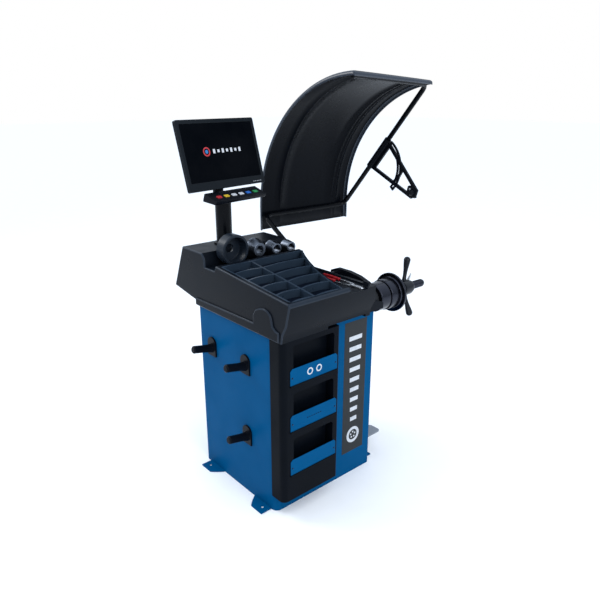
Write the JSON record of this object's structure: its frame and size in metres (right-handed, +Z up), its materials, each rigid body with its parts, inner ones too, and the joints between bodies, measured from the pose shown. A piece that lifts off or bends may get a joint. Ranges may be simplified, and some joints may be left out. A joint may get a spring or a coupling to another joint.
{
  "type": "wheel balancer machine",
  "caption": "Free-standing wheel balancer: blue sheet cabinet, moulded top with weight tray, raised guard, tilting monitor and threaded shaft with quick nut.",
  "frame": {"origin": "on the floor under the middle of the cabinet, at the base plate's flat underside", "axes": "+X along the balancing shaft, away from the cabinet; -Y the front, where the operator stands; +Z up"},
  "size_m": [1.2587, 0.915, 1.78],
  "materials": {
    "blue_paint": "satin powder coat",
    "black_plastic": "fine leather grain",
    "black_paint": "satin",
    "satin_black": "satin",
    "dark_steel": "oiled",
    "bright_steel": "ground",
    "cast_iron": "as cast",
    "aluminium": "as machined",
    "rubber": "matt",
    "screen_glass": "gloss",
    "circuit_green": "solder mask",
    "red_grip": "satin",
    "pale_paint": "satin",
    "key_red_plastic": "satin",
    "key_yellow_plastic": "satin",
    "key_white_plastic": "satin",
    "key_blue_plastic": "satin",
    "key_green_plastic": "satin"
  },
  "bodies": {
    "machine": {"base_plate": "blue_paint", "cabinet_shell": "blue_paint", "deck_plate": "dark_steel", "rear_panel": "blue_paint", "power_inlet": "satin_black", "front_bin_panel": "black_plastic", "bin_plate_lower": "blue_paint", "bin_plate_middle": "blue_paint", "bin_plate_upper": "blue_paint", "peg_rear": "black_plastic", "peg_front_upper": "black_plastic", "peg_front_lower": "black_plastic", "top_cover": "black_plastic", "weight_tray": "black_plastic", "spindle_housing": "cast_iron", "bearing_inner": "bright_steel", "bearing_outer": "bright_steel", "spindle_nose": "black_paint", "drive_motor": "aluminium", "drive_belt": "rubber", "guard_bracket": "dark_steel", "monitor_post": "black_paint", "pedal_bracket": "dark_steel", "power_unit": "aluminium", "control_board": "circuit_green"},
    "shaft": {"main_shaft": "dark_steel", "wheel_flange": "black_paint", "shaft_pulley": "aluminium", "encoder_disc": "bright_steel"},
    "rotor": {"motor_pulley": "aluminium"},
    "nut": {"quick_nut": "black_plastic", "nut_handle_upper": "black_plastic", "nut_handle_lower": "black_plastic"},
    "nut_lever": {"release_lever": "bright_steel"},
    "pedal": {"brake_pedal": "pale_paint"},
    "screen_head": {"monitor_bracket": "satin_black", "keypad_housing": "black_plastic"},
    "screen": {"monitor_housing": "satin_black", "monitor_screen": "screen_glass"},
    "power_rocker": {"switch_rocker": "rubber"},
    "guard": {"guard_shell": "black_plastic", "guard_tube": "black_paint"},
    "width_gauge": {"width_gauge_sleeve": "satin_black", "width_gauge_bracket": "satin_black"},
    "distance_rod": {"gauge_rod": "bright_steel"},
    "distance_arm": {"gauge_arm": "black_plastic"},
    "small_cone": {"cone_small": "dark_steel"},
    "middle_cone": {"cone_medium": "dark_steel"},
    "large_cone": {"cone_large": "dark_steel"},
    "cup": {"pressure_cup": "satin_black"},
    "pliers_lower": {"pliers_half_lower": "bright_steel", "pliers_grip_lower": "red_grip"},
    "pliers_upper": {"pliers_half_upper": "bright_steel", "pliers_grip_upper": "red_grip"},
    "key_red_cap": {"key_red": "key_red_plastic"},
    "key_yellow_cap": {"key_yellow": "key_yellow_plastic"},
    "key_white_left_cap": {"key_white_left": "key_white_plastic"},
    "key_white_right_cap": {"key_white_right": "key_white_plastic"},
    "key_blue_cap": {"key_blue": "key_blue_plastic"},
    "key_green_cap": {"key_green": "key_green_plastic"}
  },
  "joints": [
    {"name": "shaft_spin", "type": "hinge", "parent": "machine", "child": "shaft", "pos_m": [0.2, -0.206, 0.815], "axis": [1, 0, 0], "continuous": true},
    {"name": "motor_spin", "type": "hinge", "parent": "machine", "child": "rotor", "pos_m": [-0.085, -0.206, 0.63], "axis": [1, 0, 0], "continuous": true},
    {"name": "nut_slide", "type": "slide", "parent": "shaft", "child": "nut", "axis": [1, 0, 0], "range_m": [-0.035, 0.085]},
    {"name": "nut_release", "type": "hinge", "parent": "nut", "child": "nut_lever", "pos_m": [0.588, -0.206, 0.847], "axis": [0, 1, 0], "range_deg": [0, 20], "stiffness_Nm_per_rad": 0.4, "springref_deg": -11.46},
    {"name": "pedal_press", "type": "hinge", "parent": "machine", "child": "pedal", "pos_m": [0.12, -0.16, 0.07], "axis": [0, 1, 0], "range_deg": [0, 8], "stiffness_Nm_per_rad": 25, "springref_deg": -14.32},
    {"name": "screen_swivel", "type": "hinge", "parent": "machine", "child": "screen_head", "pos_m": [-0.11, 0.305, 1.24], "axis": [0, 0, 1], "range_deg": [-60, 45]},
    {"name": "screen_tilt", "type": "hinge", "parent": "screen_head", "child": "screen", "pos_m": [-0.11165, 0.31486, 1.38], "axis": [0.9863, 0.165, 0], "range_deg": [-8, 18]},
    {"name": "switch_rock", "type": "hinge", "parent": "machine", "child": "power_rocker", "pos_m": [0.09, 0.2646, 0.28], "axis": [1, 0, 0], "range_deg": [0, 10]},
    {"name": "guard_swing", "type": "hinge", "parent": "machine", "child": "guard", "pos_m": [0.12, 0.234, 0.915], "axis": [1, 0, 0], "range_deg": [0, 60]},
    {"name": "width_gauge_swing", "type": "hinge", "parent": "guard", "child": "width_gauge", "pos_m": [0.8455, 0.30634, 1.32183], "axis": [0, -0.6427, 0.7661], "range_deg": [-15, 80]},
    {"name": "distance_slide", "type": "slide", "parent": "machine", "child": "distance_rod", "axis": [1, 0, 0], "range_m": [0, 0.18]},
    {"name": "distance_swing", "type": "hinge", "parent": "distance_rod", "child": "distance_arm", "pos_m": [0.224, -0.075, 0.927], "axis": [-1, 0, 0], "range_deg": [0, 60]},
    {"name": "small_cone_lift", "type": "slide", "parent": "machine", "child": "small_cone", "axis": [0, 0, 1], "range_m": [0, 0.06]},
    {"name": "middle_cone_lift", "type": "slide", "parent": "machine", "child": "middle_cone", "axis": [0, 0, 1], "range_m": [0, 0.06]},
    {"name": "large_cone_lift", "type": "slide", "parent": "machine", "child": "large_cone", "axis": [0, 0, 1], "range_m": [0, 0.06]},
    {"name": "cup_lift", "type": "slide", "parent": "machine", "child": "cup", "axis": [0, 0, 1], "range_m": [0, 0.06]},
    {"name": "pliers_lift", "type": "slide", "parent": "machine", "child": "pliers_lower", "axis": [0, 0, 1], "range_m": [0, 0.08]},
    {"name": "pliers_squeeze", "type": "hinge", "parent": "pliers_lower", "child": "pliers_upper", "pos_m": [0.104, -0.29996, 0.9423], "axis": [0, 0, 1], "range_deg": [-2, 4]},
    {"name": "key_red_press", "type": "slide", "parent": "screen_head", "child": "key_red_cap", "axis": [-0.0564, 0.3373, -0.9397], "range_m": [0, 0.0015], "stiffness_N_per_m": 400, "springref_m": -0.0006},
    {"name": "key_yellow_press", "type": "slide", "parent": "screen_head", "child": "key_yellow_cap", "axis": [-0.0564, 0.3373, -0.9397], "range_m": [0, 0.0015], "stiffness_N_per_m": 400, "springref_m": -0.0006},
    {"name": "key_white_left_press", "type": "slide", "parent": "screen_head", "child": "key_white_left_cap", "axis": [-0.0564, 0.3373, -0.9397], "range_m": [0, 0.0015], "stiffness_N_per_m": 400, "springref_m": -0.0006},
    {"name": "key_white_right_press", "type": "slide", "parent": "screen_head", "child": "key_white_right_cap", "axis": [-0.0564, 0.3373, -0.9397], "range_m": [0, 0.0015], "stiffness_N_per_m": 400, "springref_m": -0.0006},
    {"name": "key_blue_press", "type": "slide", "parent": "screen_head", "child": "key_blue_cap", "axis": [-0.0564, 0.3373, -0.9397], "range_m": [0, 0.0015], "stiffness_N_per_m": 400, "springref_m": -0.0006},
    {"name": "key_green_press", "type": "slide", "parent": "screen_head", "child": "key_green_cap", "axis": [-0.0564, 0.3373, -0.9397], "range_m": [0, 0.0015], "stiffness_N_per_m": 400, "springref_m": -0.0006}
  ],
  "couplings": [
    {"joint": "motor_spin", "follows": "shaft_spin", "ratio": 2.5}
  ]
}
